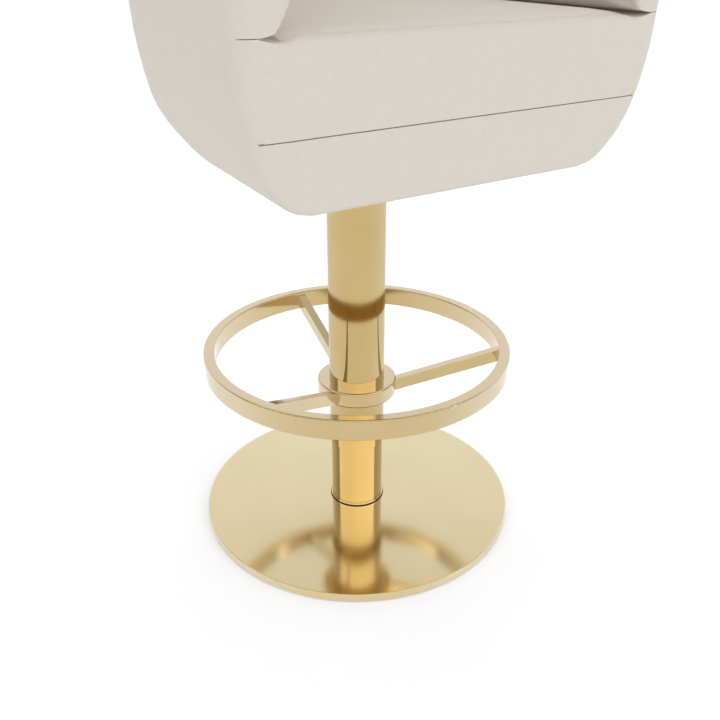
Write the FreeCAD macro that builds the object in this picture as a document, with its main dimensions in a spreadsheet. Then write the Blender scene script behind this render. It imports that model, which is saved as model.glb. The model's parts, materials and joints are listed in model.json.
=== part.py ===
"""Bar stool with a footrest ring: a weighted disc, a telescoping gas column and an upholstered tub seat.

The frame has +Z up and its origin at the centre of the floor pad's lower face. The sitter faces -Y.
The model stands at its full height, the gas spring fully extended. Millimetres throughout.
"""

import FreeCAD, Part

import math
import os
import re

import Sketcher

V = FreeCAD.Vector

# Driving sizes. Each has a cell of its own in the sheet, under the same name.
SIZES = {
    # weighted foot
    "disc_radius": 240.0, "disc_top": 14.0, "disc_skirt": 2.0, "cover_wall": 1.5, "disc_edge": 1.2,
    "pad_radius": 233.0, "pad_thickness": 3.0, "ballast_gap": 0.5,
    "screw_inset": 6.6, "foot_screw_radius": 4.0, "foot_head_radius": 6.5, "foot_head_depth": 4.5,
    "foot_screw_length": 26.0, "thread_clearance": 0.05,
    # fixed column
    "column_radius": 39.6, "column_wall": 2.0, "column_top": 440.0,
    "gasket_rim": 3.1, "gasket_thickness": 1.5, "flange_rim": 2.6, "flange_thickness": 2.0,
    "neck_step": 1.7, "foot_plug_height": 34.0, "assembly_gap": 0.1,
    "housing_radius": 25.0, "housing_wall": 2.0, "housing_floor": 6.0, "housing_pocket": 10.0,
    "clip_chamber_radius": 13.0, "clip_chamber_depth": 8.0,
    "guide_length": 50.0, "guide_lip": 2.0, "cap_depth": 20.0,
    # gas spring
    "rod_radius": 5.0, "rod_hole": 6.1, "gas_radius": 14.0, "gas_wall": 1.6, "running_fit": 0.05,
    "race_radius": 11.0, "race_thickness": 1.5, "ball_row": 3.0, "race_gap": 0.1,
    "buffer_height": 12.0, "clip_radius": 9.0, "clip_thickness": 1.5,
    "stroke": 100.0, "buffer_space": 5.0, "gland_height": 12.0, "piston_gap": 6.0, "piston_height": 15.0,
    "valve_radius": 4.0, "valve_height": 4.0,
    # sliding sleeve and footrest
    "sleeve_gap": 0.35, "sleeve_wall": 1.35, "landing_gap": 2.0,
    "hub_radius": 59.2, "hub_bottom": 204.0, "hub_height": 23.8, "hub_edge": 3.0, "hub_fit": 0.05,
    "set_screw_radius": 3.0, "set_screw_length": 12.0, "set_screw_rise": 12.0, "set_screw_count": 2,
    "ring_radius": 225.0, "ring_width": 15.7, "ring_bottom": 256.4, "ring_height": 29.4, "ring_edge": 2.0,
    "spoke_width": 13.0, "spoke_depth": 18.6, "spoke_low_top": 226.0, "spoke_high_top": 281.8,
    "spoke_count": 3, "spoke_turn": 84.3,
    # lift pan and lever
    "seat_bottom": 569.0, "pan_depth": 24.0, "pan_wall": 3.0, "pan_length": 130.0, "pan_width": 110.0,
    "pan_flange_length": 200.0, "pan_flange_width": 170.0, "socket_wall": 4.0, "socket_height": 8.0,
    "bolt_x": 85.0, "bolt_y": 70.0, "bolt_radius": 4.0, "bolt_head_radius": 6.5, "bolt_head_height": 6.0,
    "nut_barrel_radius": 5.5, "nut_flange_radius": 9.0, "nut_flange_thickness": 1.5, "nut_depth": 10.0,
    "lever_pivot": 40.0, "lever_pin_radius": 2.5, "lever_width": 8.0, "lever_depth": 4.0,
    "lever_gap": 0.4, "lever_drop": 9.2, "lever_bend": 35.0, "lever_reach": 150.0, "lug_thickness": 3.0,
    "lever_slot_width": 14.0, "lug_length": 12.0, "lug_gap": 0.5,
    "grip_length": 42.0, "grip_width": 24.0, "grip_depth": 8.0, "grip_edge": 3.0,
    # upholstered tub
    "tub_wall": 12.0, "tub_mid": -15.0, "tub_corner": 20.0, "front_depth": 22.0,
    "board_thickness": 18.0, "frame_rail": 40.0, "web_thickness": 3.0,
    "seam_level": 650.0, "seam_gap": 0.6, "cushion_top": 742.0, "pad_gap": 0.5,
    "arm_top": 890.0, "back_top": 1000.0, "arm_thickness": 56.0,
}

# The tub's outline at each level above its bottom: height, half width, and how far forward its front is.
TUB_STATIONS = [(0, 192, 218), (11, 212, 219.5), (31, 233, 223.4), (61, 250, 228.5), (96, 262, 233.5),
                (171, 275, 241), (291, 280, 249), (460, 280, 252)]

# The arm roll's inner face: height above the cushion, and the share of the arm's thickness there.
ROLL_STATIONS = [(0, 0.36), (6, 0.58), (18, 0.83), (36, 0.97), (60, 1.0), (150, 1.0), (290, 1.0)]

REACH = 400.0          # half size of the blocks that only trim other shapes

doc = FreeCAD.newDocument("BarStool")
sheet = doc.addObject("Spreadsheet::Sheet", "Sizes")
for row, (name, size) in enumerate(SIZES.items(), start=1):
    sheet.set("A%d" % row, name)
    sheet.set("B%d" % row, str(size))
    sheet.setAlias("B%d" % row, name)
doc.recompute()
nodes = []


def value(expression):
    """The number that a sum or difference of named sizes and plain numbers stands for."""
    total, sign = 0.0, 1.0
    for word in expression.split():
        if word in "+-":
            sign = 1.0 if word == "+" else -1.0
        else:
            total += sign * (getattr(sheet, word) if word[0].isalpha() else float(word))
    return total


def bound(expression):
    """The same sum, written for a property that follows the sheet."""
    return re.sub(r"[a-z][a-z_]*", lambda word: "Sizes." + word.group(0), expression)


def keep(item, label):
    """Mark an object as a sub-part under its own name."""
    item.Label = label
    nodes.append(item)
    return item


def profile_sketch(body, label, points):
    """A closed outline in the XZ plane whose corners follow sums of named sizes."""
    plane = next(item for item in body.Origin.OriginFeatures if item.Role == "XZ_Plane")
    sketch = body.newObject("Sketcher::SketchObject", label + "_profile")
    sketch.AttachmentSupport = (plane, [""])
    sketch.MapMode = "FlatFace"
    corners = [V(value(x), value(z), 0) for x, z in points]
    for index, corner in enumerate(corners):
        sketch.addGeometry(Part.LineSegment(corner, corners[(index + 1) % len(corners)]), False)
    for index in range(len(corners)):
        sketch.addConstraint(Sketcher.Constraint("Coincident", index, 2, (index + 1) % len(corners), 1))
    for index, (x, z) in enumerate(points):
        for kind, expression in (("DistanceX", x), ("DistanceY", z)):
            if value(expression) == 0.0:
                sketch.addConstraint(Sketcher.Constraint(
                    "PointOnObject", index, 1, -2 if kind == "DistanceX" else -1))
                continue
            place = sketch.addConstraint(Sketcher.Constraint(kind, -1, 1, index, 1, value(expression)))
            sketch.setExpression("Constraints[%d]" % place, bound(expression))
    return sketch


def turned(label, points, edge=None, rounded=(), kept=True):
    """A piece turned about the column's axis, with chosen circular edges rounded."""
    body = doc.addObject("PartDesign::Body", label + "_body")
    sketch = profile_sketch(body, label, points)
    turn = body.newObject("PartDesign::Revolution", label + "_turn")
    turn.Profile = sketch
    turn.ReferenceAxis = (sketch, ["V_Axis"])
    turn.Angle = 360
    doc.recompute()
    if rounded:
        spots = [(value(x), value(z)) for x, z in rounded]
        names = []
        for number, line in enumerate(turn.Shape.Edges, start=1):
            curve = line.Curve
            if isinstance(curve, Part.Circle) and any(
                    abs(curve.Radius - x) < 0.01 and abs(curve.Center.z - z) < 0.01 for x, z in spots):
                names.append("Edge%d" % number)
        fillet = body.newObject("PartDesign::Fillet", label + "_round")
        fillet.Base = (turn, names)
        fillet.setExpression("Radius", bound(edge))
        doc.recompute()
    return keep(body, label) if kept else body


def tube(label, outer, inner, low, high, edge=None, rounded=(), kept=True):
    """A plain ring or tube; an inner radius of zero makes a solid rod."""
    corners = [(inner, low), (outer, low), (outer, high), (inner, high)]
    return turned(label, corners, edge, rounded, kept)


def cylinder(label, radius, height, place, rotation=FreeCAD.Rotation()):
    """A cylinder bound to the sheet; place is the centre of its first end."""
    item = doc.addObject("Part::Cylinder", label)
    item.setExpression("Radius", bound(radius))
    item.setExpression("Height", bound(height))
    item.Placement = FreeCAD.Placement(V(), rotation)
    for axis, expression in zip("xyz", place):
        item.setExpression("Placement.Base." + axis, bound(expression))
    return item


def box(label, size, place):
    """A box bound to the sheet; place is its lowest corner."""
    item = doc.addObject("Part::Box", label)
    for side, expression in zip(("Length", "Width", "Height"), size):
        item.setExpression(side, bound(expression))
    for axis, expression in zip("xyz", place):
        item.setExpression("Placement.Base." + axis, bound(expression))
    return item


def joined(label, items):
    """Several shapes fused, or kept side by side where they do not touch."""
    fuse = doc.addObject("Part::MultiFuse", label)
    fuse.Shapes = items
    return fuse


def drilled(label, solid, tools):
    """A shape with other shapes taken away."""
    cut = doc.addObject("Part::Cut", label)
    cut.Base = solid
    cut.Tool = tools[0] if len(tools) == 1 else joined(label + "_tools", tools)
    return cut


def around(count, start=0.0):
    """The angles of a number of equally spaced places."""
    return [start + 360.0 * index / count for index in range(int(count))]


def ring_of(label, radius, height, circle, low, count, start=0.0):
    """Upright cylinders equally spaced on a circle about the column's axis."""
    items = []
    for number, angle in enumerate(around(count, start), start=1):
        item = cylinder("%s_%d" % (label, number), radius, height, ("0", "0", low))
        for axis, share in (("x", math.cos(math.radians(angle))), ("y", math.sin(math.radians(angle)))):
            item.setExpression("Placement.Base." + axis, "%.6f * (%s)" % (share, bound(circle)))
        items.append(item)
    return items


def feature(label, shape):
    """A freely curved sub-part whose shape is worked out here from the sheet."""
    item = doc.addObject("Part::Feature", label)
    item.Shape = shape
    return keep(item, label)


# ---- weighted foot -------------------------------------------------------------------------------

BALLAST_LOW, BALLAST_HIGH = "pad_thickness", "disc_top - cover_wall"
COLUMN_INNER = "column_radius - column_wall"
NECK = COLUMN_INNER + " - neck_step"
SCREW_CIRCLE = COLUMN_INNER + " - screw_inset"
FLANGE_LOW = "disc_top + gasket_thickness"
TUBE_LOW = FLANGE_LOW + " + flange_thickness"


def build_foot():
    tube("floor_pad", "pad_radius", "0", "0", "pad_thickness")
    turned("base_cover", [
        (NECK, "disc_top - cover_wall"), ("disc_radius - cover_wall", "disc_top - cover_wall"),
        ("disc_radius - cover_wall", "disc_skirt"), ("disc_radius", "disc_skirt"),
        ("disc_radius", "disc_top"), (NECK, "disc_top")],
        "disc_edge", [("disc_radius", "disc_top")])
    plate = cylinder("ballast_disc", "disc_radius - cover_wall - ballast_gap",
                     BALLAST_HIGH + " - pad_thickness", ("0", "0", BALLAST_LOW))
    heads = ring_of("head_recess", "foot_head_radius + thread_clearance", "foot_head_depth + 1",
                    SCREW_CIRCLE, BALLAST_LOW + " - 1", 4, 45)
    shanks = ring_of("shank_hole", "foot_screw_radius + thread_clearance", "disc_top",
                     SCREW_CIRCLE, BALLAST_LOW, 4, 45)
    keep(drilled("ballast_plate", plate, heads + shanks), "ballast_plate")
    screws = []
    for number, angle in enumerate(around(4, 45), start=1):
        head = ring_of("foot_head_%d" % number, "foot_head_radius", "foot_head_depth",
                       SCREW_CIRCLE, BALLAST_LOW, 1, angle)
        shank = ring_of("foot_shank_%d" % number, "foot_screw_radius", "foot_screw_length",
                        SCREW_CIRCLE, BALLAST_LOW, 1, angle)
        screws.append(joined("foot_screw_%d" % number, head + shank))
    keep(joined("foot_screws", screws), "foot_screws")


# ---- fixed column and the parts inside it --------------------------------------------------------

PLUG_HIGH = TUBE_LOW + " + foot_plug_height"
HOUSING_LOW = PLUG_HIGH + " - housing_pocket"
HOUSING_FLOOR = HOUSING_LOW + " + housing_floor"
BALL_LOW = HOUSING_FLOOR + " + race_thickness"
UPPER_RACE_LOW = BALL_LOW + " + ball_row + race_gap"
BUFFER_LOW = UPPER_RACE_LOW + " + race_thickness"
BUFFER_HIGH = BUFFER_LOW + " + buffer_height"
ROD_LOW = HOUSING_LOW + " - clip_thickness - clip_thickness - clip_thickness"
GAS_LOW = BUFFER_HIGH + " + buffer_space + stroke"
GLAND_HIGH = GAS_LOW + " + gland_height"
PISTON_LOW = GLAND_HIGH + " + piston_gap"
PISTON_HIGH = PISTON_LOW + " + piston_height"
GUIDE_LOW = "column_top - guide_length"


def build_column():
    tube("column_gasket", "column_radius + gasket_rim", NECK, "disc_top", FLANGE_LOW)
    tube("foot_flange", "column_radius + flange_rim", NECK, FLANGE_LOW, TUBE_LOW)
    tube("column_tube", "column_radius", COLUMN_INNER, TUBE_LOW, "column_top")
    inside = COLUMN_INNER + " - assembly_gap"
    plug = turned("plug_blank", [
        ("0", BALLAST_HIGH), (NECK + " - assembly_gap", BALLAST_HIGH),
        (NECK + " - assembly_gap", TUBE_LOW), (inside, TUBE_LOW), (inside, PLUG_HIGH),
        ("housing_radius", PLUG_HIGH), ("housing_radius", HOUSING_LOW),
        ("clip_chamber_radius", HOUSING_LOW), ("clip_chamber_radius", HOUSING_LOW + " - clip_chamber_depth"),
        ("0", HOUSING_LOW + " - clip_chamber_depth")], kept=False)
    holes = ring_of("plug_hole", "foot_screw_radius", "foot_screw_length + 1",
                    SCREW_CIRCLE, BALLAST_LOW, 4, 45)
    keep(drilled("foot_plug", plug, holes), "foot_plug")
    turned("lift_housing", [
        ("rod_hole", HOUSING_LOW), ("housing_radius", HOUSING_LOW), ("housing_radius", "column_top"),
        ("housing_radius - housing_wall", "column_top"), ("housing_radius - housing_wall", HOUSING_FLOOR),
        ("rod_hole", HOUSING_FLOOR)])
    turned("column_cap", [
        ("housing_radius", "column_top - cap_depth"), (inside, "column_top - cap_depth"),
        (inside, "column_top"), ("column_radius", "column_top"),
        ("column_radius", "column_top + guide_lip"), ("housing_radius", "column_top + guide_lip")])
    turned("guide_bush", [
        ("gas_radius + running_fit", GUIDE_LOW), ("housing_radius - housing_wall", GUIDE_LOW),
        ("housing_radius - housing_wall", "column_top"), ("housing_radius", "column_top"),
        ("housing_radius", "column_top + guide_lip"), ("gas_radius + running_fit", "column_top + guide_lip")])
    tube("lower_race", "race_radius", "rod_hole", HOUSING_FLOOR, BALL_LOW)
    tube("thrust_bearing", "race_radius", "rod_hole", BALL_LOW, BALL_LOW + " + ball_row")


def build_gas_spring():
    tube("piston_rod", "rod_radius", "0", ROD_LOW, PISTON_HIGH)
    tube("rod_clip", "clip_radius", "rod_radius", HOUSING_LOW + " - clip_thickness - race_gap",
         HOUSING_LOW + " - race_gap")
    tube("upper_race", "race_radius", "rod_radius", UPPER_RACE_LOW, BUFFER_LOW)
    tube("stop_buffer", "race_radius", "rod_radius", BUFFER_LOW, BUFFER_HIGH)
    bore = "gas_radius - gas_wall"
    tube("piston", bore + " - running_fit", "rod_radius", PISTON_LOW, PISTON_HIGH)
    turned("gas_cylinder", [
        (bore, GAS_LOW), ("gas_radius", GAS_LOW), ("gas_radius", SOCKET_HIGH),
        ("valve_radius + running_fit", SOCKET_HIGH), ("valve_radius + running_fit", SOCKET_HIGH + " - gland_height"),
        (bore, SOCKET_HIGH + " - gland_height")])
    tube("rod_gland", bore, "rod_radius + running_fit", GAS_LOW, GLAND_HIGH)
    tube("valve_pin", "valve_radius", "0", SOCKET_HIGH + " - gland_height", VALVE_HIGH)


# ---- sliding sleeve and footrest -----------------------------------------------------------------

SLEEVE_INNER = "column_radius + sleeve_gap"
SLEEVE_OUTER = SLEEVE_INNER + " + sleeve_wall"
PAN_LOW = "seat_bottom - pan_depth"
SOCKET_HIGH = PAN_LOW + " + pan_wall + socket_height"
VALVE_HIGH = SOCKET_HIGH + " + valve_height"
HUB_TOP = "hub_bottom + hub_height"
RING_TOP = "ring_bottom + ring_height"
RING_INNER = "ring_radius - ring_width"


def build_footrest():
    tube("sleeve_tube", SLEEVE_OUTER, SLEEVE_INNER, TUBE_LOW + " + stroke + landing_gap", PAN_LOW)
    hub = tube("hub_blank", "hub_radius", SLEEVE_OUTER + " + hub_fit", "hub_bottom", HUB_TOP,
               "hub_edge", [("hub_radius", "hub_bottom"), ("hub_radius", HUB_TOP)], kept=False)
    count, turn = value("spoke_count"), value("spoke_turn")
    between = around(count, turn - 180.0 / count)[:int(value("set_screw_count"))]
    middle = "hub_bottom + set_screw_rise"
    holes, screws = [], []
    for number, angle in enumerate(between, start=1):
        share = {"x": math.cos(math.radians(angle)), "y": math.sin(math.radians(angle))}
        outward = FreeCAD.Rotation(V(0, 0, 1), V(share["x"], share["y"], 0))
        for label, length, group in (("hub_hole", "hub_radius", holes), ("screw", "set_screw_length", screws)):
            item = cylinder("%s_%d" % (label, number), "set_screw_radius", length, ("0", "0", middle), outward)
            for axis in "xy":
                item.setExpression("Placement.Base." + axis, "%.6f * (%s)" % (
                    share[axis], bound(SLEEVE_OUTER + " + hub_fit")))
            group.append(item)
    keep(drilled("footrest_hub", hub, holes), "footrest_hub")
    keep(joined("hub_set_screws", screws), "hub_set_screws")
    tube("footrest_ring", "ring_radius", RING_INNER, "ring_bottom", RING_TOP, "ring_edge",
         [(radius, level) for radius in ("ring_radius", RING_INNER) for level in ("ring_bottom", RING_TOP)])
    for number, angle in enumerate(around(count, turn), start=1):
        label = "footrest_spoke_%d" % number
        body = doc.addObject("PartDesign::Body", label + "_body")
        sketch = profile_sketch(body, label, [
            ("hub_radius - hub_edge", "spoke_low_top - spoke_depth"),
            (RING_INNER + " + ring_edge", "spoke_high_top - spoke_depth"),
            (RING_INNER + " + ring_edge", "spoke_high_top"), ("hub_radius - hub_edge", "spoke_low_top")])
        bar = body.newObject("PartDesign::Pad", label + "_pad")
        bar.Profile = sketch
        bar.Midplane = True
        bar.setExpression("Length", bound("spoke_width"))
        outer = cylinder(label + "_outer", RING_INNER, "spoke_high_top", ("0", "0", "0"))
        inner = cylinder(label + "_inner", "hub_radius", "spoke_high_top + 10", ("0", "0", "-5"))
        band = drilled(label + "_band", outer, [inner])
        spoke = doc.addObject("Part::Common", label)
        spoke.Base = body
        spoke.Tool = band
        spoke.Placement = FreeCAD.Placement(V(), FreeCAD.Rotation(V(0, 0, 1), angle))
        keep(spoke, label)


# ---- lift pan, lever and seat bolts --------------------------------------------------------------

LEVER_LOW = VALVE_HIGH + " + lever_gap"
LEVER_HIGH = LEVER_LOW + " + lever_depth"
TIP_LOW = LEVER_LOW + " - lever_drop"
TIP_HIGH = LEVER_HIGH + " - lever_drop"


def half(expression):
    """Half of a sum, as an expression for a bound property."""
    return "(%s) / 2" % bound(expression)


def centred_box(label, length, width, height, low):
    """A box centred on the column's axis, standing on a given level."""
    item = box(label, (length, width, height), ("0", "0", low))
    item.setExpression("Placement.Base.x", "-" + half(length))
    item.setExpression("Placement.Base.y", "-" + half(width))
    return item


def seat_corners():
    """The four bolt places, as signs along X and Y."""
    return [(x, y) for x in (-1, 1) for y in (-1, 1)]


def at_bolts(label, radius, height, low):
    """Upright cylinders at the four seat bolts."""
    items = []
    for number, (x, y) in enumerate(seat_corners(), start=1):
        item = cylinder("%s_%d" % (label, number), radius, height, ("0", "0", low))
        item.setExpression("Placement.Base.x", "%d * Sizes.bolt_x" % x)
        item.setExpression("Placement.Base.y", "%d * Sizes.bolt_y" % y)
        items.append(item)
    return items


def build_pan():
    walls = centred_box("pan_walls", "pan_length", "pan_width", "pan_depth", PAN_LOW)
    flange = centred_box("pan_flange", "pan_flange_length", "pan_flange_width", "pan_wall",
                         "seat_bottom - pan_wall")
    hollow = centred_box("pan_hollow", "pan_length - pan_wall - pan_wall",
                         "pan_width - pan_wall - pan_wall", "pan_depth", PAN_LOW + " + pan_wall")
    slot = box("lever_slot", ("pan_length", "lever_slot_width", "pan_depth - pan_wall - pan_wall"),
               ("0", "0", PAN_LOW + " + pan_wall"))
    slot.setExpression("Placement.Base.x", "-Sizes.pan_length")
    slot.setExpression("Placement.Base.y", "-" + half("lever_slot_width"))
    shell = drilled("pan_shell", joined("pan_blank", [walls, flange]),
                    [hollow, slot] + at_bolts("pan_bolt_hole", "bolt_radius + assembly_gap",
                                              "pan_depth", PAN_LOW))
    socket = cylinder("socket_blank", "gas_radius + socket_wall", "pan_wall + socket_height",
                      ("0", "0", PAN_LOW))
    lugs = []
    for number, side in enumerate((-1, 1), start=1):
        lug = box("lever_lug_%d" % number, ("lug_length", "lug_thickness", "pan_depth - pan_wall"),
                  ("0", "0", PAN_LOW + " + pan_wall"))
        lug.setExpression("Placement.Base.x", "-Sizes.lever_pivot - Sizes.lug_length / 2")
        lug.setExpression("Placement.Base.y", "%d * (Sizes.lever_width / 2 + Sizes.lug_gap"
                          " + Sizes.lug_thickness / 2) - Sizes.lug_thickness / 2" % side)
        lugs.append(lug)
    whole = joined("pan_whole", [shell, socket] + lugs)
    bore = cylinder("socket_bore", "gas_radius", "pan_depth", ("0", "0", PAN_LOW))
    keep(drilled("lift_pan", whole, [bore, lever_pin("pin_hole")]), "lift_pan")
    pieces = []
    for head, shank in zip(at_bolts("bolt_head", "bolt_head_radius", "bolt_head_height",
                                    "seat_bottom - pan_wall - bolt_head_height"),
                           at_bolts("bolt_shank", "bolt_radius", "pan_wall + tub_wall + board_thickness",
                                    "seat_bottom - pan_wall")):
        pieces.append(joined(head.Name + "_whole", [head, shank]))
    keep(joined("seat_bolts", pieces), "seat_bolts")
    nuts = [joined(barrel.Name + "_whole", [barrel, lip]) for barrel, lip in zip(
        at_bolts("nut_barrel", "nut_barrel_radius", "nut_depth", BOARD_HIGH + " - nut_depth"),
        at_bolts("nut_lip", "nut_flange_radius", "nut_flange_thickness", BOARD_HIGH))]
    keep(drilled("tee_nuts", joined("nut_blanks", nuts),
                 at_bolts("nut_bore", "bolt_radius", "nut_depth", BOARD_HIGH + " - nut_depth")), "tee_nuts")


def lever_pin(label, length="pan_width"):
    """A cylinder along Y through the lever's pivot."""
    item = cylinder(label, "lever_pin_radius", length, ("0", "0", "0"),
                    FreeCAD.Rotation(V(1, 0, 0), -90))
    item.setExpression("Placement.Base.x", "-Sizes.lever_pivot")
    item.setExpression("Placement.Base.y", "-" + half(length))
    item.setExpression("Placement.Base.z", half(LEVER_LOW + " + " + LEVER_HIGH))
    return item


def build_lever():
    length = "lever_width + lug_gap + lug_gap + lug_thickness + lug_thickness"
    keep(lever_pin("lever_pin", length), "lever_pin")
    body = doc.addObject("PartDesign::Body", "lever_body")
    back = "0 - lever_pivot - lever_bend"
    end = "0 - lever_reach"
    nose = "valve_radius"
    bend = "0 - lever_pivot - lug_length"
    sketch = profile_sketch(body, "lever", [
        (nose, LEVER_LOW), (nose, LEVER_HIGH), (bend, LEVER_HIGH), (back, TIP_HIGH), (end, TIP_HIGH),
        (end, TIP_LOW), (back, TIP_LOW), (bend, LEVER_LOW)])
    bar = body.newObject("PartDesign::Pad", "lever_pad")
    bar.Profile = sketch
    bar.Midplane = True
    bar.setExpression("Length", bound("lever_width"))
    eye = lever_pin("lever_eye")
    eye.setExpression("Radius", bound("lever_pin_radius + running_fit"))
    boss = lever_pin("lever_boss", "lever_width")
    boss.setExpression("Radius", bound("lever_pin_radius + lever_pin_radius"))
    keep(drilled("lever", joined("lever_blank", [body, boss]), [eye]), "lever")
    block = box("grip_block", ("grip_length", "grip_width", "grip_depth"), ("0", "0", "0"))
    block.setExpression("Placement.Base.x", bound("0 - lever_reach - grip_edge - grip_edge"))
    block.setExpression("Placement.Base.y", "-" + half("grip_width"))
    block.setExpression("Placement.Base.z", half(TIP_LOW + " + " + TIP_HIGH + " - grip_depth"))
    doc.recompute()
    soft = doc.addObject("Part::Fillet", "grip_soft")
    soft.Base = block
    edge = value("grip_edge")
    soft.Edges = [(number, edge, edge) for number in range(1, 13)]
    keep(drilled("lever_grip", soft, [body]), "lever_grip")


# ---- upholstered tub -----------------------------------------------------------------------------

BOARD_LOW = "seat_bottom + tub_wall"
BOARD_HIGH = BOARD_LOW + " + board_thickness"


def outline(half_width, front, level):
    """A flat-fronted, round-backed outline at one height, as a closed wire."""
    corner, middle = value("tub_corner"), value("tub_mid")
    near = corner * (1 - math.sqrt(0.5))
    right = [V(half_width - corner, -front, level), V(half_width - near, near - front, level),
             V(half_width, corner - front, level), V(half_width, middle, level)]
    left = [V(-point.x, point.y, level) for point in right]
    return Part.Wire([
        Part.LineSegment(left[0], right[0]).toShape(), Part.Arc(right[0], right[1], right[2]).toShape(),
        Part.LineSegment(right[2], right[3]).toShape(),
        Part.Arc(right[3], V(0, middle + half_width, level), left[3]).toShape(),
        Part.LineSegment(left[3], left[2]).toShape(), Part.Arc(left[2], left[1], left[0]).toShape()])


def tub(inset, front=None):
    """The tub's outer form, or the same form moved inwards by a wall and open to the front."""
    bottom = value("seat_bottom")
    return Part.makeLoft([outline(width - inset, front or ahead, bottom + rise)
                          for rise, width, ahead in TUB_STATIONS], True, True)


def slab(low, high):
    """Everything between two heights."""
    return Part.makeBox(2 * REACH, 2 * REACH, high - low, V(-REACH, -REACH, low))


def across(points):
    """An outline in the YZ plane carried right across the stool."""
    wire = Part.makePolygon([V(-REACH, y, z) for y, z in points + points[:1]])
    return Part.Face(wire).extrude(V(2 * REACH, 0, 0))


def front_zone(depth):
    """Everything within a depth of the leaning front face."""
    bottom = value("seat_bottom")
    lean = [(depth - ahead, bottom + rise) for rise, width, ahead in TUB_STATIONS]
    return across([(-REACH, lean[0][1])] + lean + [(-REACH, lean[-1][1])])


def below_rim():
    """Everything under the sloping line of the arms and back."""
    front, back = -TUB_STATIONS[-1][2], value("tub_mid") + TUB_STATIONS[-1][1]
    slope = (value("back_top") - value("arm_top")) / (back - front)
    return across([(-REACH, 0), (REACH, 0), (REACH, value("back_top") + slope * (REACH - back)),
                   (back, value("back_top")), (-REACH, value("arm_top") - slope * (REACH + front))])


def sitting_space():
    """The space between the arms, wider where the arm roll curves under to meet the cushion."""
    bottom = value("cushion_top") + value("pad_gap")
    widths = [width for rise, width, ahead in TUB_STATIONS]
    wires = []
    for rise, share in ROLL_STATIONS:
        level = bottom + rise
        half_width = interpolate(level - value("seat_bottom")) - value("tub_wall")
        wires.append(outline(half_width - share * value("arm_thickness"), REACH, level - 1))
    return Part.makeLoft(wires, True, True)


def interpolate(rise):
    """The tub's half width at a height above its bottom."""
    for (low, narrow, _), (high, wide, _) in zip(TUB_STATIONS, TUB_STATIONS[1:]):
        if rise <= high:
            return narrow + (wide - narrow) * (rise - low) / (high - low)
    return wide


def build_tub():
    outer = tub(0.0)
    inner = tub(value("tub_wall"), REACH)
    zone = front_zone(value("front_depth"))
    floor, board = value(BOARD_LOW), value(BOARD_HIGH)
    seam, gap = value("seam_level"), value("seam_gap") / 2
    cushion = value("cushion_top")
    trimmed = below_rim()
    shell = outer.cut(inner.common(slab(floor, 2 * REACH + floor))).cut(zone).common(trimmed)
    core = outer.cut(shell)
    holes = [Part.makeCylinder(value("bolt_radius") + value("assembly_gap"), value(BOARD_HIGH),
                               V(x * value("bolt_x"), y * value("bolt_y"), 0)) for x, y in seat_corners()]
    sockets = [Part.makeCylinder(value("nut_barrel_radius"), value("nut_depth"),
                                 V(x * value("bolt_x"), y * value("bolt_y"), board - value("nut_depth")))
               for x, y in seat_corners()]
    feature("tub_shell", shell.cut(holes))
    inside = core.cut(zone)
    feature("seat_board", inside.common(slab(floor, board)).cut(holes).cut(sockets))
    rail = value("frame_rail")
    hollow = tub(value("tub_wall") + rail, TUB_STATIONS[0][2] - value("front_depth") - rail)
    web = seam - value("web_thickness")
    feature("seat_frame", inside.common(slab(board, web)).cut(hollow))
    feature("seat_webbing", inside.common(slab(web, seam)))
    feature("front_panel", core.common(zone).common(slab(value("seat_bottom"), seam - gap)))
    feature("seat_cushion", core.common(slab(seam + gap, cushion)))
    pad = core.common(slab(cushion + value("pad_gap"), 2 * REACH + seam)).common(trimmed)
    feature("arm_back_pad", pad.cut(sitting_space()))


def check_and_write():
    """Stop if anything failed, then write one file for each sub-part."""
    doc.recompute()
    for item in doc.Objects:
        if "Invalid" in item.State or "Error" in item.State:
            raise RuntimeError("%s did not build: %s" % (item.Label, item.State))
    os.makedirs("parts", exist_ok=True)
    for item in nodes:
        shape = item.Shape
        if shape.isNull() or not shape.isValid() or not shape.Solids:
            raise RuntimeError("%s has no sound solid" % item.Label)
        print("%-20s %8.1f cm3  %d solid(s)" % (item.Label, shape.Volume / 1000, len(shape.Solids)))
        shape.exportStep("parts/%s.step" % item.Label)


build_foot()
build_column()
build_gas_spring()
build_footrest()
build_pan()
build_lever()
build_tub()
check_and_write()
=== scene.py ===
"""Looks of a bar stool: an upholstered tub on a telescoping brass column with a footrest ring.

Each sub-assembly is a class that models its own pieces and dresses them, and each finish is a frozen
dataclass that can brew its material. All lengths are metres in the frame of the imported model.
"""

import json
import logging
import math
from dataclasses import dataclass, field
from enum import Enum
from typing import Callable, Iterable, Sequence

import bmesh
import bpy
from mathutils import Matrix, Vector


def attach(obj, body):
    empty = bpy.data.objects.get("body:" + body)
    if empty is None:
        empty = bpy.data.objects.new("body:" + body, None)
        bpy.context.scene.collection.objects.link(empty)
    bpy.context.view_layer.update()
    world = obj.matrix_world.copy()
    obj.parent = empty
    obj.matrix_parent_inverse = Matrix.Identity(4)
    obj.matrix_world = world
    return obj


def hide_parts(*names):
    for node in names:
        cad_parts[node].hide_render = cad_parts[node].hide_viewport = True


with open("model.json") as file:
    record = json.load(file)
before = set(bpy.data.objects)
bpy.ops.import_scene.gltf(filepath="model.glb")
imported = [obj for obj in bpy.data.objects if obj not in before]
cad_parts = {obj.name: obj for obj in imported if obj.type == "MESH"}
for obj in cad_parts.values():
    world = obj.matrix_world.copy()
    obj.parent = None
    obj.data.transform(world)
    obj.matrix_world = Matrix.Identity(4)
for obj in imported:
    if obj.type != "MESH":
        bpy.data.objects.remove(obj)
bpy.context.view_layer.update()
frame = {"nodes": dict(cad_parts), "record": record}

LOG = logging.getLogger("bar_stool")
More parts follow.
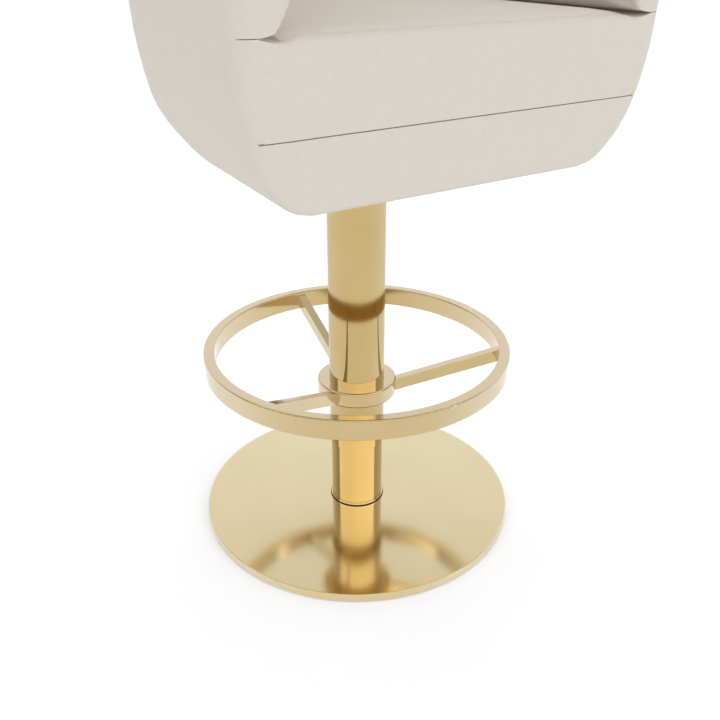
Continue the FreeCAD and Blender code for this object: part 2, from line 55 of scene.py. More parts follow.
Colour = tuple[float, float, float, float]
Test = Callable[[Vector], bool]


# ---- shader maths --------------------------------------------------------------------------------

class Signal:
    """A shader socket that can stand in sums and products."""

    def __init__(self, recipe: "Recipe", socket: bpy.types.NodeSocket) -> None:
        """Keep the socket together with the recipe that owns it."""
        self.recipe = recipe
        self.socket = socket

    def _math(self, operation: str, first: object, second: object) -> "Signal":
        """Add one Math node.

        Args:
            operation: The Math node's operation.
            first: A Signal or a number.
            second: A Signal or a number.

        Returns:
            The node's result.
        """
        return self.recipe.node("ShaderNodeMath", {"operation": operation}, {0: first, 1: second})

    def __add__(self, other: object) -> "Signal":
        """This value plus another."""
        return self._math("ADD", self, other)

    def __sub__(self, other: object) -> "Signal":
        """This value less another."""
        return self._math("SUBTRACT", self, other)

    def __rsub__(self, other: object) -> "Signal":
        """Another value less this one."""
        return self._math("SUBTRACT", other, self)

    def __mul__(self, other: object) -> "Signal":
        """This value times another."""
        return self._math("MULTIPLY", self, other)

    __radd__ = __add__
    __rmul__ = __mul__

    def over(self, threshold: float, softness: float) -> "Signal":
        """A mask that rises from 0 to 1 around a threshold.

        Args:
            threshold: The value where the mask is a half.
            softness: The width of the rise.

        Returns:
            The mask.
        """
        return self.recipe.node(
            "ShaderNodeMapRange", {"interpolation_type": "SMOOTHSTEP"},
            {"Value": self, "From Min": threshold - softness / 2, "From Max": threshold + softness / 2})


class Recipe:
    """One material while its nodes are being put together."""

    def __init__(self, name: str) -> None:
        """Start an empty material of that name."""
        self.material = bpy.data.materials.new(name)
        self.material.use_nodes = True
        self.tree = self.material.node_tree
        self.tree.nodes.clear()

    def node(self, kind: str, settings: dict | None = None, inputs: dict | None = None,
             output: int | str = 0) -> Signal:
        """Add any node.

        Args:
            kind: The node's type.
            settings: Its own settings, which are set first; "stops" fills a colour ramp.
            inputs: Values or Signals for its sockets, by name or number.
            output: The socket to hand back.

        Returns:
            The chosen output.
        """
        made = self.tree.nodes.new(kind)
        for key, setting in (settings or {}).items():
            if key == "stops":
                self._fill_ramp(made.color_ramp, setting)
            else:
                setattr(made, key, setting)
        for key, item in (inputs or {}).items():
            if isinstance(item, Signal):
                self.tree.links.new(item.socket, made.inputs[key])
            else:
                made.inputs[key].default_value = item
        return Signal(self, made.outputs[output])

    @staticmethod
    def _fill_ramp(ramp: bpy.types.ColorRamp, stops: Sequence[tuple[float, Colour]]) -> None:
        """Give a colour ramp its stops."""
        while len(ramp.elements) < len(stops):
            ramp.elements.new(0.5)
        for element, (place, colour) in zip(ramp.elements, stops):
            element.position = place
            element.color = colour

    def place(self, scale: Sequence[float] = (1.0, 1.0, 1.0)) -> Signal:
        """Object coordinates, stretched by a scale along each axis."""
        spot = self.node("ShaderNodeTexCoord", output="Object")
        return self.node("ShaderNodeMapping", None, {"Vector": spot, "Scale": scale})

    def noise(self, scale: float, detail: float = 3.0, stretch: Sequence[float] = (1.0, 1.0, 1.0)) -> Signal:
        """A noise value over the object.

        Args:
            scale: Its number of bumps a metre.
            detail: Its octaves.
            stretch: How the coordinates are stretched first.

        Returns:
            The noise, about 0.5 on average.
        """
        return self.node("ShaderNodeTexNoise", None,
                         {"Vector": self.place(stretch), "Scale": scale, "Detail": detail})

    def blend(self, share: Signal, low: Colour, high: Colour) -> Signal:
        """Mix two colours by a mask."""
        return self.node("ShaderNodeMix", {"data_type": "RGBA"}, {0: share, 6: low, 7: high}, 2)

    def bump(self, height: Signal, depth: float, strength: float = 1.0) -> Signal:
        """Turn a height into a normal."""
        return self.node("ShaderNodeBump", None,
                         {"Height": height, "Distance": depth, "Strength": strength})

    def slant(self) -> Signal:
        """How much a surface turns away from the eye, for the gloss of a lacquer."""
        return self.node("ShaderNodeLayerWeight", None, {"Blend": 0.5}, "Facing")

    def finish(self, sockets: dict) -> bpy.types.Material:
        """Close the recipe with its shader.

        Args:
            sockets: Values or Signals for the Principled shader.

        Returns:
            The finished material.
        """
        shader = self.node("ShaderNodeBsdfPrincipled", None, sockets)
        self.node_output(shader)
        return self.material

    def node_output(self, shader: Signal) -> None:
        """Wire a shader to the material's surface."""
        out = self.tree.nodes.new("ShaderNodeOutputMaterial")
        self.tree.links.new(shader.socket, out.inputs["Surface"])


# ---- finishes ------------------------------------------------------------------------------------

class Grain(Enum):
    """Which way the polishing lines of a metal piece run."""

    ROUND = (90.0, 90.0, 1400.0)
    UPRIGHT = (1200.0, 1200.0, 14.0)
    NONE = (40.0, 40.0, 40.0)


@dataclass(frozen=True)
class Brass:
    """Satin-polished brass plate."""

    name: str = "satin_brass"
    warm: Colour = (0.580, 0.435, 0.205, 1.0)
    pale: Colour = (0.610, 0.462, 0.228, 1.0)
    edge: Colour = (0.95, 0.92, 0.86, 1.0)
    roughness: float = 0.10
    lacquer: float = 2.6
    gloss: float = 1.0
    grain: Grain = Grain.ROUND

    def brew(self) -> bpy.types.Material:
        """Make the material."""
        mix = Recipe(self.name)
        cloud = mix.noise(9.0, 2.0)
        lines = mix.noise(1.0, 2.0, self.grain.value)
        smears = mix.noise(26.0, 4.0)
        return mix.finish({
            "Base Color": mix.blend(cloud.over(0.5, 0.5), self.warm, self.pale),
            "Metallic": 1.0,
            "Roughness": self.roughness + 0.03 * (lines - 0.5) + 0.05 * (smears - 0.5),
            "Specular Tint": self.edge,
            "Coat Weight": mix.slant().over(0.32, 0.5) * self.gloss,
            "Coat IOR": self.lacquer,
            "Coat Roughness": 0.09,
            "Normal": mix.bump(lines, 0.00002, 0.25)})


@dataclass(frozen=True)
class Upholstery:
    """Cream short-pile cloth with a faint nap."""

    name: str = "cream_cloth"
    light: Colour = (0.705, 0.650, 0.566, 1.0)
    shade: Colour = (0.667, 0.612, 0.529, 1.0)

    def brew(self) -> bpy.types.Material:
        """Make the material."""
        mix = Recipe(self.name)
        nap = mix.noise(140.0, 4.0)
        pile = mix.noise(900.0, 2.0)
        fibre = mix.noise(2600.0, 1.0)
        tone = nap.over(0.5, 0.6) * 0.5 + pile.over(0.5, 0.5) * 0.5
        return mix.finish({
            "Base Color": mix.blend(tone, self.shade, self.light),
            "Roughness": 0.88 + 0.08 * pile,
            "Sheen Weight": 0.15,
            "Sheen Roughness": 0.5,
            "Sheen Tint": (1.0, 0.97, 0.92, 1.0),
            "Specular IOR Level": 0.2,
            "Normal": mix.bump(pile * 0.7 + fibre * 0.3, 0.0004, 0.45)})


@dataclass(frozen=True)
class SewnShadow:
    """The seam's brown thread, darkened further with painted shade for the groove it lies in."""

    name: str = "seam_thread_painted_shade"
    # painted shade: both tones are dark partly for the thread's brown and partly to stand for the shade down in
    # the seam's groove
    light: Colour = (0.47, 0.39, 0.26, 1.0)
    shade: Colour = (0.36, 0.29, 0.18, 1.0)

    def brew(self) -> bpy.types.Material:
        """Make the material."""
        mix = Recipe(self.name)
        twist = mix.noise(700.0, 2.0)
        return mix.finish({
            "Base Color": mix.blend(twist.over(0.5, 0.3), self.shade, self.light),
            "Roughness": 0.9 + 0.05 * twist,
            "Specular IOR Level": 0.1,
            "Normal": mix.bump(twist, 0.0003, 0.5)})


@dataclass(frozen=True)
class Plain:
    """A worked surface of one colour with fine texture: paint, rubber, plastic, zinc or wood."""

    name: str
    low: Colour
    high: Colour
    roughness: float
    metallic: float = 0.0
    scale: float = 500.0
    stretch: tuple[float, float, float] = (1.0, 1.0, 1.0)
    depth: float = 0.0001

    def brew(self) -> bpy.types.Material:
        """Make the material."""
        mix = Recipe(self.name)
        grain = mix.noise(self.scale, 3.0, self.stretch)
        wear = mix.noise(45.0, 3.0)
        return mix.finish({
            "Base Color": mix.blend(grain.over(0.5, 0.4), self.low, self.high),
            "Metallic": self.metallic,
            "Roughness": self.roughness + 0.12 * (wear - 0.5),
            "Normal": mix.bump(grain, self.depth, 0.4)})


# ---- modelling moves -----------------------------------------------------------------------------

class Bench:
    """The modelling moves that the pieces share."""

    @staticmethod
    def clear() -> None:
        """Leave edit mode and select nothing."""
        if bpy.context.object and bpy.context.object.mode != "OBJECT":
            bpy.ops.object.mode_set(mode="OBJECT")
        for item in bpy.context.selected_objects:
            item.select_set(False)

    @staticmethod
    def take(piece: bpy.types.Object) -> None:
        """Make one object the only selected and active one."""
        Bench.clear()
        piece.select_set(True)
        bpy.context.view_layer.objects.active = piece

    @staticmethod
    def named(name: str) -> bpy.types.Object:
        """Name the object that was just added."""
        piece = bpy.context.object
        piece.name = name
        piece.data.name = name
        return piece

    @staticmethod
    def settle(piece: bpy.types.Object) -> None:
        """Move a piece's place into its mesh."""
        Bench.take(piece)
        bpy.ops.object.transform_apply(location=True, rotation=True, scale=True)

    @staticmethod
    def pick(test: Test) -> int:
        """Select, in edit mode, just the vertices that pass a test, with the edges and faces between them.

        Args:
            test: Says of a vertex's place whether it is wanted.

        Returns:
            How many vertices were selected.
        """
        mesh = bmesh.from_edit_mesh(bpy.context.object.data)
        for element in (*mesh.faces, *mesh.edges, *mesh.verts):
            element.select_set(False)
        chosen = [vertex for vertex in mesh.verts if test(vertex.co)]
        for vertex in chosen:
            vertex.select_set(True)
        mesh.select_mode = {"VERT"}
        mesh.select_flush_mode()
        bmesh.update_edit_mesh(bpy.context.object.data)
        return len(chosen)

    @staticmethod
    def pick_faces(test: Callable[[bmesh.types.BMFace], bool]) -> int:
        """Select, in edit mode, just the faces that pass a test."""
        mesh = bmesh.from_edit_mesh(bpy.context.object.data)
        for element in (*mesh.faces, *mesh.edges, *mesh.verts):
            element.select_set(False)
        chosen = [face for face in mesh.faces if test(face)]
        for face in chosen:
            face.select_set(True)
        bmesh.update_edit_mesh(bpy.context.object.data)
        return len(chosen)

    @staticmethod
    def apply(piece: bpy.types.Object, kind: str, **settings: object) -> None:
        """Add a modifier with its settings and apply it."""
        Bench.take(piece)
        modifier = piece.modifiers.new(kind.lower(), kind)
        for key, setting in settings.items():
            setattr(modifier, key, setting)
        bpy.ops.object.modifier_apply(modifier=modifier.name)

    @staticmethod
    def dress(piece: bpy.types.Object, material: bpy.types.Material) -> None:
        """Give a piece one material all over."""
        piece.data.materials.clear()
        piece.data.materials.append(material)

    @staticmethod
    def dress_slots(node: bpy.types.Object, material: bpy.types.Material) -> None:
        """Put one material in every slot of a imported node."""
        if not node.material_slots:
            node.data.materials.append(material)
        for place in node.material_slots:
            place.material = material

    @staticmethod
    def soft_shade(piece: bpy.types.Object, angle: float = 40.0) -> None:
        """Shade a piece smoothly except at edges sharper than an angle in degrees."""
        Bench.take(piece)
        bpy.ops.object.shade_smooth_by_angle(angle=math.radians(angle))


@dataclass
class Profile:
    """A smooth curve through a few points, level against size."""

    points: Sequence[tuple[float, float]]

    def at(self, level: float) -> float:
        """The curve's value at a level, by cubic spans between the points.

        Args:
            level: Where to read the curve.

        Returns:
            The size there.
        """
        points = self.points
        if level <= points[0][0]:
            return points[0][1]
        if level >= points[-1][0]:
            return points[-1][1]
        index = max(i for i in range(len(points) - 1) if points[i][0] <= level)
        (low, first), (high, second) = points[index], points[index + 1]
        span = high - low
        share = (level - low) / span
        start, end = self._slope(index) * span, self._slope(index + 1) * span
        square, cube = share ** 2, share ** 3
        return ((2 * cube - 3 * square + 1) * first + (cube - 2 * square + share) * start
                + (3 * square - 2 * cube) * second + (cube - square) * end)

    def _slope(self, index: int) -> float:
        """The curve's slope at a point, kept from overshooting its neighbours."""
        points = self.points
        slopes = [(points[i + 1][1] - points[i][1]) / (points[i + 1][0] - points[i][0])
                  for i in (index - 1, index) if 0 <= i < len(points) - 1]
        if len(slopes) == 1:
            return slopes[0]
        if slopes[0] * slopes[1] <= 0:
            return 0.0
        return 2 * slopes[0] * slopes[1] / (slopes[0] + slopes[1])

    def levels(self, steps: int) -> list[float]:
        """Evenly eased levels, closer together where the curve starts."""
        low, high = self.points[0][0], self.points[-1][0]
        return [low + (high - low) * (index / steps) ** 1.7 for index in range(steps + 1)]


@dataclass(frozen=True)
class Girth:
    """A flat-fronted, round-backed outline's sizes at one level."""

    level: float
    wide: float
    front: float
    corner: float
    back: float
    waist: float


@dataclass(frozen=True)
class Outline:
    """How such an outline changes with its level."""

    widths: Profile
    fronts: Profile
    corners: Profile
    tucks: Profile
    waists: Profile

    def at(self, level: float) -> Girth:
        """The outline's sizes at a level; its back's depth and half width are shares of its half width."""
        wide = self.widths.at(level)
        return Girth(level, wide, self.fronts.at(level), self.corners.at(level), wide * self.tucks.at(level),
                     wide * self.waists.at(level))


# ---- sub-assemblies ------------------------------------------------------------------------------

@dataclass
class TubSeat:
    """The upholstered tub: one cloth skin over the shell, the cushion band, the front panel and the roll."""

    cloth: Upholstery
    thread_and_painted_shade: SewnShadow
    body: str = "seat"
    middle: float = -0.015
    mouth: float = 0.264
    voxel: float = 0.004
    swell: float = 0.0025
    seam_level: float = 0.650
    seam_reach: float = 0.251
    seam_half: float = 0.0010
    seam_depth: float = 0.0022
    slit: float = 0.0008
    deck_level: float = 0.737
    arm_top: float = 0.884
    back_top: float = 0.994
    outer: Profile = field(default_factory=lambda: Profile((
        (0.5675, 0.190), (0.571, 0.205), (0.576, 0.2145), (0.585, 0.225), (0.600, 0.2382), (0.630, 0.2535),
        (0.665, 0.2640), (0.740, 0.2745), (0.860, 0.278), (1.030, 0.278))))
    tuck: Profile = field(default_factory=lambda: Profile((
        (0.5675, 0.93), (0.600, 0.965), (0.640, 0.985), (0.690, 1.0), (1.030, 1.0))))
    waist: Profile = field(default_factory=lambda: Profile((
        (0.5675, 0.950), (0.600, 0.955), (0.610, 0.963), (0.620, 0.976), (0.630, 0.986), (0.650, 1.0),
        (1.030, 1.0))))
    lean: Profile = field(default_factory=lambda: Profile((
        (0.5675, 0.219), (0.650, 0.2325), (0.740, 0.2415), (0.860, 0.2485), (1.030, 0.2515))))
    corner: Profile = field(default_factory=lambda: Profile((
        (0.5675, 0.006), (0.600, 0.006), (0.630, 0.008), (0.655, 0.011), (0.688, 0.014), (0.710, 0.018),
        (0.735, 0.023), (0.760, 0.026), (1.030, 0.030))))
    inner: Profile = field(default_factory=lambda: Profile((
        (0.737, 0.232), (0.7464, 0.2325), (0.750, 0.2292), (0.754, 0.2253), (0.761, 0.2214), (0.773, 0.2167),
        (0.800, 0.213), (0.860, 0.212), (1.060, 0.212))))
    fold: Profile = field(default_factory=lambda: Profile((
        (0.7382, 0.2345), (0.7392, 0.2385), (0.7404, 0.2430), (0.7414, 0.2470), (0.7422, 0.2500),
        (0.7430, 0.2495), (0.7435, 0.2470), (0.7439, 0.2438), (0.7449, 0.239),
        (0.7464, 0.2331), (0.750, 0.226), (0.756, 0.216), (0.772, 0.205))))

    def build(self) -> bpy.types.Object:
        """Model the whole tub.

        Returns:
            The upholstery as one closed mesh.
        """
        square = Profile(((0.0, 0.010), (2.0, 0.010)))
        beyond = Profile(((0.0, self.mouth), (2.0, self.mouth)))
        even = Profile(((0.0, 1.0), (2.0, 1.0)))
        tub = self._form("tub_upholstery", Outline(self.outer, self.lean, self.corner, self.tuck, self.waist), 44)
        space = self._form("sitting_space", Outline(self.inner, beyond, square, even, even), 40)
        self._crown(space)
        Bench.apply(tub, "BOOLEAN", operation="DIFFERENCE", solver="EXACT", object=space)
        bpy.data.objects.remove(space)
        self._cut_rim(tub)
        Bench.apply(tub, "REMESH", mode="VOXEL", voxel_size=self.voxel)
        self._round_rim(tub)
        Bench.apply(tub, "SMOOTH", factor=0.5, iterations=2)
        self._inflate(tub)
        blade = self._form("fold_blade", Outline(self.fold, beyond, square, even, even), 34)
        self._crease(tub, blade)
        self._sew(tub)
        Bench.soft_shade(tub, 60.0)
        Bench.dress(tub, self.cloth.brew())
        tub.data.materials.append(self.thread_and_painted_shade.brew())
        # the second material, on the groove's walls, is thread colour with painted shade
        self._paint_thread_and_shade(tub)
        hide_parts("tub_shell", "front_panel", "seat_cushion", "arm_back_pad")
        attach(tub, self.body)
        LOG.info("tub_upholstery: %d faces", len(tub.data.polygons))
        return tub

    def _form(self, name: str, outline: Outline, steps: int) -> bpy.types.Object:
        """Raise a flat-fronted, round-backed outline level by level.

        Args:
            name: The object's name.
            outline: Its sizes at each level.
            steps: How many rises it is made in.

        Returns:
            The closed form.
        """
        levels = outline.widths.levels(steps)
        base = outline.at(levels[0])
        depth = base.front + self.middle + base.wide
        Bench.clear()
        bpy.ops.mesh.primitive_plane_add(
            size=1.0, location=(0.0, self.middle + base.wide - depth / 2, levels[0]))
        form = Bench.named(name)
        form.scale = (2 * base.wide, depth, 1.0)
        Bench.settle(form)
        bpy.ops.object.mode_set(mode="EDIT")
        Bench.pick(lambda spot: spot.y > self.middle)
        bpy.ops.mesh.bevel(offset=base.wide, affect="VERTICES", segments=48)
        Bench.pick(lambda spot: spot.y < self.middle - base.wide * 0.5)
        bpy.ops.mesh.bevel(offset=base.corner, affect="VERTICES", segments=8)
        Bench.pick(lambda spot: spot.y > self.middle - 0.00001)
        bpy.ops.transform.resize(value=(base.waist / base.wide, base.back / base.wide, 1.0),
                                 center_override=(0.0, self.middle, 0.0))
        bpy.ops.mesh.select_all(action="SELECT")
        bpy.ops.mesh.remove_doubles(threshold=0.00001)
        for low, high in zip(levels, levels[1:]):
            self._raise(outline.at(low), outline.at(high))
        bpy.ops.mesh.select_all(action="SELECT")
        bpy.ops.mesh.normals_make_consistent(inside=False)
        bpy.ops.object.mode_set(mode="OBJECT")
        return form

    def _raise(self, low: Girth, high: Girth) -> None:
        """Extrude the top face from one level to the next and fit it to its new outline."""
        bpy.ops.mesh.extrude_region_move(TRANSFORM_OT_translate={"value": (0.0, 0.0, high.level - low.level)})
        centre, top = (0.0, self.middle, high.level), high.level - 0.00001
        grow = high.wide / low.wide
        bpy.ops.transform.resize(value=(grow, grow, 1.0), center_override=centre)
        Bench.pick(lambda spot: spot.z > top and spot.y > self.middle - 0.00001)
        bpy.ops.transform.resize(value=(high.waist / low.waist / grow, high.back / low.back / grow, 1.0),
                                 center_override=centre)
        forward = (high.front + self.middle) / (low.front + self.middle) / grow
        Bench.pick(lambda spot: spot.z > top and spot.y < self.middle - 0.00001)
        bpy.ops.transform.resize(value=(1.0, forward, 1.0), center_override=centre)
        across, along = low.corner * grow, low.corner * grow * forward
        for side in (-1.0, 1.0):
            Bench.pick(lambda spot: spot.z > top and side * spot.x > high.wide - across - 0.00001
                       and spot.y < along - high.front + 0.00001)
            bpy.ops.transform.resize(value=(high.corner / across, high.corner / along, 1.0),
                                     center_override=(side * high.wide, -high.front, high.level))
        Bench.pick(lambda spot: spot.z > top)

    def _crown(self, space: bpy.types.Object) -> None:
        """Hollow the underside of the sitting space, so that the cushion below it is crowned."""
        Bench.take(space)
        bpy.ops.object.mode_set(mode="EDIT")
        Bench.pick(lambda spot: spot.z < self.deck_level + 0.00001)
        for shrink, rise in ((0.92, 0.0045), (0.86, 0.0040), (0.78, 0.0030), (0.60, 0.0015)):
            bpy.ops.mesh.extrude_region_move(TRANSFORM_OT_translate={"value": (0.0, 0.0, rise)})
            bpy.ops.transform.resize(value=(shrink, shrink, 1.0), center_override=(0.0, self.middle, 0.0))
        bpy.ops.object.mode_set(mode="OBJECT")

    def _crease(self, tub: bpy.types.Object, blade: bpy.types.Object) -> None:
        """Cut the narrow fold where the roll of the arms and back rests on the cushion.

        Args:
            tub: The upholstery.
            blade: A form as wide as the fold, which is hollowed here so that it leaves the cushion alone.
        """
        Bench.take(blade)
        bpy.ops.object.mode_set(mode="EDIT")
        bottom = self.fold.points[0][0]
        Bench.pick(lambda spot: spot.z < bottom + 0.00001)
        for rise, across, along in ((0.0002, 0.960, 0.979), (0.014, 0.96, 0.97), (0.014, 0.90, 0.94)):
            bpy.ops.mesh.extrude_region_move(TRANSFORM_OT_translate={"value": (0.0, 0.0, rise)})
            bpy.ops.transform.resize(value=(across, along, 1.0), center_override=(0.0, -self.mouth, 0.0))
        bpy.ops.object.mode_set(mode="OBJECT")
        bpy.ops.mesh.primitive_cube_add(size=1.0, location=(0.0, -0.2485, 0.7429))
        slit = Bench.named("slit_blade")
        slit.scale = (0.56, 0.030, self.slit)
        Bench.settle(slit)
        for tool in (blade, slit):
            Bench.apply(tub, "BOOLEAN", operation="DIFFERENCE", solver="EXACT", object=tool)
            bpy.data.objects.remove(tool)

    def _rim_slope(self) -> float:
        """How much the rim rises for each metre towards the back."""
        return (self.back_top - self.arm_top) / (self.middle + 0.280 + 0.248)

    def _over_rim(self, spot: Vector) -> float:
        """How far a place is above the sloping rim."""
        return spot.z - (self.arm_top + self._rim_slope() * (spot.y + 0.248))

    def _cut_rim(self, tub: bpy.types.Object) -> None:
        """Cut the arms and back off along the sloping rim."""
        Bench.take(tub)
        bpy.ops.object.mode_set(mode="EDIT")
        bpy.ops.mesh.select_all(action="SELECT")
        bpy.ops.mesh.bisect(plane_co=(0.0, -0.248, self.arm_top), plane_no=(0.0, -self._rim_slope(), 1.0),
                            use_fill=True, clear_outer=True)
        bpy.ops.object.mode_set(mode="OBJECT")

    def _round_rim(self, tub: bpy.types.Object) -> None:
        """Round the rim more than the other edges."""
        group = tub.vertex_groups.new(name="rim")
        for vertex in tub.data.vertices:
            height = self._over_rim(vertex.co)
            if height > -0.045:
                group.add([vertex.index], min(1.0, (height + 0.045) / 0.02), "REPLACE")
        Bench.apply(tub, "SMOOTH", factor=0.5, iterations=60, vertex_group="rim")
        tub.vertex_groups.clear()

    def _inflate(self, tub: bpy.types.Object) -> None:
        """Let the foam fill the cloth between its tacked edges, by a short simulation whose movement is capped."""
        before = [vertex.co.copy() for vertex in tub.data.vertices]
        tacked = tub.vertex_groups.new(name="tacked")
        tacked.add([vertex.index for vertex in tub.data.vertices if self._tacked(vertex.co)], 1.0, "REPLACE")
        Bench.take(tub)
        cloth = tub.modifiers.new("cloth", "CLOTH")
        cloth.settings.vertex_group_mass = tacked.name
        cloth.settings.use_pressure = True
        cloth.settings.uniform_pressure_force = 4.0
        cloth.settings.effector_weights.gravity = 0.0
        cloth.settings.quality = 4
        cloth.point_cache.frame_start = 1
        cloth.point_cache.frame_end = 14
        for step in range(1, 15):
            bpy.context.scene.frame_set(step)
        bpy.ops.object.modifier_apply(modifier=cloth.name)
        bpy.context.scene.frame_set(1)
        tub.vertex_groups.clear()
        moves = sorted((vertex.co - start).length for vertex, start in zip(tub.data.vertices, before))
        LOG.info("tub_upholstery: swells %.4f m, at most %.4f m", moves[len(moves) // 2], moves[-1])
        for vertex, start in zip(tub.data.vertices, before):
            move = vertex.co - start
            if move.length > self.swell:
                vertex.co = start + move * (self.swell / move.length)
        Bench.apply(tub, "SMOOTH", factor=0.5, iterations=1)

    def _tacked(self, spot: Vector) -> bool:
        """Whether the cloth is held there: under the tub, up its front corners and along the cushion's edge."""
        corner = self.corner.at(spot.z) + 0.003
        on_corner = (abs(spot.x) > self.outer.at(spot.z) - corner and spot.y < corner - self.lean.at(spot.z))
        on_lip = spot.y < -0.228 and abs(spot.z - self.deck_level) < 0.009
        return spot.z < 0.582 or on_corner or on_lip

    def _on_front(self, spot: Vector) -> bool:
        """Whether a place is on the front face, near the seam's level."""
        return spot.y < -0.205 and abs(spot.z - self.seam_level) < 0.012 and abs(spot.x) < self.seam_reach

    def _sew(self, tub: bpy.types.Object) -> None:
        """Cut a narrow sewn groove across the front."""
        Bench.take(tub)
        bpy.ops.object.mode_set(mode="EDIT")
        bpy.ops.mesh.select_mode(type="FACE")
        for offset in (-self.seam_half, 0.0, self.seam_half):
            Bench.pick_faces(lambda face: self._on_front(face.calc_center_median()))
            bpy.ops.mesh.bisect(plane_co=(0.0, 0.0, self.seam_level + offset), plane_no=(0.0, 0.0, 1.0))
        bpy.ops.mesh.select_mode(type="VERT")
        Bench.pick(lambda spot: self._on_front(spot) and abs(spot.z - self.seam_level) < 0.0001)
        bpy.ops.transform.translate(value=(0.0, self.seam_depth, 0.0))
        bpy.ops.object.mode_set(mode="OBJECT")

    def _paint_thread_and_shade(self, tub: bpy.types.Object) -> None:
        """Put the thread's brown, darkened with painted shade, on the walls of the groove."""
        for face in tub.data.polygons:
            centre = face.center
            inside = abs(centre.z - self.seam_level) < self.seam_half
            if inside and self._on_front(centre) and abs(face.normal.z) > 0.5:
                face.material_index = 1


@dataclass
class Metalwork:
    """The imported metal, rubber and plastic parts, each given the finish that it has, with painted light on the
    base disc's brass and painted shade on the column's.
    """

    def build(self) -> None:
        """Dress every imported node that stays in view."""
        brass_round = Brass().brew()
        # painted light: the base disc gets a lighter copy of the brass, standing for the brighter surround that
        # its top reflects
        brass_disc_painted_light = Brass("disc_brass_painted_light", (0.715, 0.560, 0.265, 1.0), (0.745, 0.590, 0.295, 1.0),
                           roughness=0.13, lacquer=3.2).brew()
        # painted shade: the column's tubes get a darker copy of the brass colour, standing for the dimmer surround
        # that their sides reflect
        brass_upright_painted_shade = Brass("column_brass_painted_shade", (0.550, 0.402, 0.172, 1.0), (0.580, 0.428, 0.190, 1.0),
                              (0.86, 0.82, 0.74, 1.0), gloss=0.4, grain=Grain.UPRIGHT).brew()
        zinc = Plain("zinc_plate", (0.50, 0.50, 0.52, 1.0), (0.62, 0.62, 0.63, 1.0), 0.35, 1.0).brew()
        black = Plain("black_enamel", (0.012, 0.012, 0.013, 1.0), (0.02, 0.02, 0.021, 1.0), 0.38).brew()
        rubber = Plain("black_rubber", (0.010, 0.010, 0.010, 1.0), (0.022, 0.022, 0.022, 1.0), 0.75).brew()
        iron = Plain("cast_iron", (0.05, 0.05, 0.052, 1.0), (0.09, 0.09, 0.09, 1.0), 0.7, 0.6, 220.0).brew()
        chrome = Plain("hard_chrome", (0.62, 0.62, 0.64, 1.0), (0.70, 0.70, 0.71, 1.0), 0.12, 1.0).brew()
        nylon = Plain("white_nylon", (0.66, 0.65, 0.60, 1.0), (0.74, 0.73, 0.68, 1.0), 0.5).brew()
        plastic = Plain("black_plastic", (0.012, 0.012, 0.012, 1.0), (0.025, 0.025, 0.025, 1.0), 0.5).brew()
        ply = Plain("birch_ply", (0.50, 0.34, 0.18, 1.0), (0.66, 0.48, 0.29, 1.0), 0.6, 0.0, 30.0,
                    (1.0, 8.0, 8.0)).brew()
        web = Plain("elastic_web", (0.02, 0.02, 0.02, 1.0), (0.05, 0.05, 0.05, 1.0), 0.9, 0.0, 300.0).brew()
        by_slot = {"zinc_steel": zinc, "black_steel": black, "rubber": rubber, "cast_iron": iron,
                   "chrome": chrome, "nylon": nylon, "black_plastic": plastic, "plywood": ply,
                   "webbing": web, "brass": brass_round}
        for part in frame["record"]["subparts"]:
            node = frame["nodes"][part["node"]]
            material = by_slot.get(part["material_slot"])
            if part["node"] in ("column_tube", "sleeve_tube"):
                # the darker, painted-shade copy of the brass
                material = brass_upright_painted_shade
            elif part["node"] == "base_cover":
                # the lighter, painted-light copy of the brass
                material = brass_disc_painted_light
            if material is not None:
                Bench.dress_slots(node, material)
        LOG.info("metalwork: %d packed nodes dressed", len(frame["nodes"]))


# ---- studio --------------------------------------------------------------------------------------

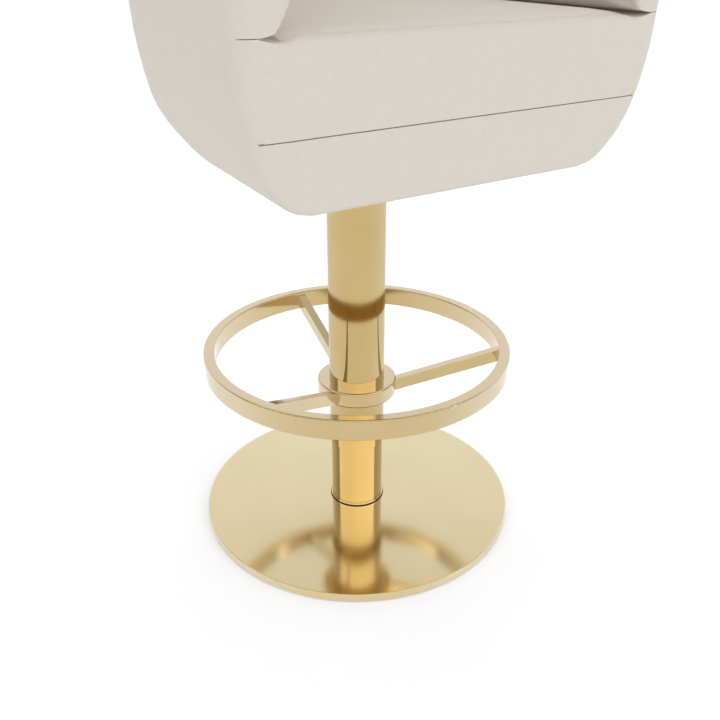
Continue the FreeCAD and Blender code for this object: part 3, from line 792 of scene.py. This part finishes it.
@dataclass
class Studio:
    """Plain pale floor, soft light all round and the camera."""

    camera_place: tuple[float, float, float] = (-0.5797, -0.9277, 0.8252)
    heading: float = -32.26
    pitch: float = 27.56
    lens: float = 41.03
    round_light: float = 0.89
    top_light: float = 0.64
    front_share: float = 0.74
    back_share: float = 1.12
    left_share: float = 0.45
    wall_light: float = 1.45
    wall_tint: Colour = (0.96, 1.0, 1.10, 1.0)
    wall_way: tuple[float, float, float] = (-0.530, -0.848, 0.0)

    def build(self) -> None:
        """Set up the floor, the lights, the plain view of colours and the camera."""
        bpy.context.scene.view_settings.view_transform = "Standard"
        self._floor()
        self._sky()
        self._lights()
        self._camera()

    def _floor(self) -> None:
        """A large flat matt floor, which glows faintly."""
        Bench.clear()
        bpy.ops.mesh.primitive_plane_add(size=60.0)
        floor = Bench.named("studio_floor")
        mix = Recipe("floor_paint")
        speck = mix.noise(3.0, 2.0)
        Bench.dress(floor, mix.finish({
            "Base Color": mix.blend(speck.over(0.5, 0.8), (0.90, 0.90, 0.90, 1.0), (0.92, 0.92, 0.92, 1.0)),
            "Roughness": 0.9, "Specular IOR Level": 0.1,
            "Emission Color": (1.0, 1.0, 1.0, 1.0), "Emission Strength": 0.23}))

    def _sky(self) -> None:
        """A pale surround, dimmer overhead, with a bright curved wall of light in front."""
        world = bpy.data.worlds.new("studio_surround")
        bpy.context.scene.world = world
        world.use_nodes = True
        nodes, links = world.node_tree.nodes, world.node_tree.links
        way, split, ahead = (nodes.new("ShaderNode" + kind) for kind in ("TexCoord", "SeparateXYZ", "VectorMath"))
        ahead.operation = "DOT_PRODUCT"
        ahead.inputs[1].default_value = self.wall_way
        links.new(way.outputs["Generated"], split.inputs[0])
        links.new(way.outputs["Generated"], ahead.inputs[0])
        rise, facing = split.outputs["Z"], ahead.outputs["Value"]

        def ramp(source: bpy.types.NodeSocket, low: float, high: float, start: float, end: float,
                 ) -> bpy.types.NodeSocket:
            """Turn one value into another between two ends."""
            made = nodes.new("ShaderNodeMapRange")
            for key, number in (("From Min", low), ("From Max", high), ("To Min", start), ("To Max", end)):
                made.inputs[key].default_value = number
            links.new(source, made.inputs["Value"])
            return made.outputs[0]

        def join(operation: str, first: bpy.types.NodeSocket,
                 second: bpy.types.NodeSocket) -> bpy.types.NodeSocket:
            """Add or multiply two values."""
            made = nodes.new("ShaderNodeMath")
            made.operation = operation
            links.new(first, made.inputs[0])
            links.new(second, made.inputs[1])
            return made.outputs[0]

        swing = join("MULTIPLY", ramp(facing, -0.75, 0.2, self.back_share, self.front_share),
                     ramp(split.outputs["X"], -1.0, -0.35, self.left_share, 1.0))
        dome = join("MULTIPLY", ramp(rise, 0.5, 0.95, self.round_light, self.top_light), swing)
        wall = join("MULTIPLY", join("MULTIPLY", ramp(rise, 0.40, 0.46, 0.0, self.wall_light),
                                     ramp(rise, 0.71, 0.77, 1.0, 0.0)), ramp(facing, 0.0, 0.08, 0.0, 1.0))
        lit, both = nodes.new("ShaderNodeBackground"), nodes.new("ShaderNodeAddShader")
        lit.inputs["Color"].default_value = self.wall_tint
        nodes["Background"].inputs["Color"].default_value = (1.0, 1.0, 1.0, 1.0)
        links.new(dome, nodes["Background"].inputs["Strength"])
        links.new(wall, lit.inputs["Strength"])
        links.new(nodes["Background"].outputs[0], both.inputs[0])
        links.new(lit.outputs[0], both.inputs[1])
        links.new(both.outputs[0], nodes["World Output"].inputs["Surface"])

    def _lights(self) -> None:
        """A bright top light for the edges."""
        for name, place, aim, size, power in (
                ("top_softbox", (0.3, 0.5, 3.0), (0.0, 0.0, 0.3), 0.8, 5.0),):
            light = bpy.data.lights.new(name, "AREA")
            light.shape = "DISK"
            light.size = size
            light.energy = power
            holder = bpy.data.objects.new(name, light)
            holder.location = place
            holder.rotation_euler = (Vector(aim) - Vector(place)).to_track_quat("-Z", "Y").to_euler()
            bpy.context.scene.collection.objects.link(holder)

    def _camera(self) -> None:
        """The camera, looking down at the footrest from the sitter's right."""
        lens = bpy.data.cameras.new("view")
        lens.lens = self.lens
        lens.sensor_width = 36.0
        holder = bpy.data.objects.new("view", lens)
        holder.location = self.camera_place
        holder.rotation_euler = (math.radians(90.0 - self.pitch), 0.0, math.radians(self.heading))
        bpy.context.scene.collection.objects.link(holder)
        bpy.context.scene.camera = holder


def main() -> None:
    """Build the stool's looks and the studio round it."""
    logging.basicConfig(level=logging.INFO, format="%(name)s: %(message)s")
    Metalwork().build()
    TubSeat(Upholstery(), SewnShadow()).build()
    Studio().build()
    bpy.context.view_layer.update()


if __name__ == "__main__":
    main()
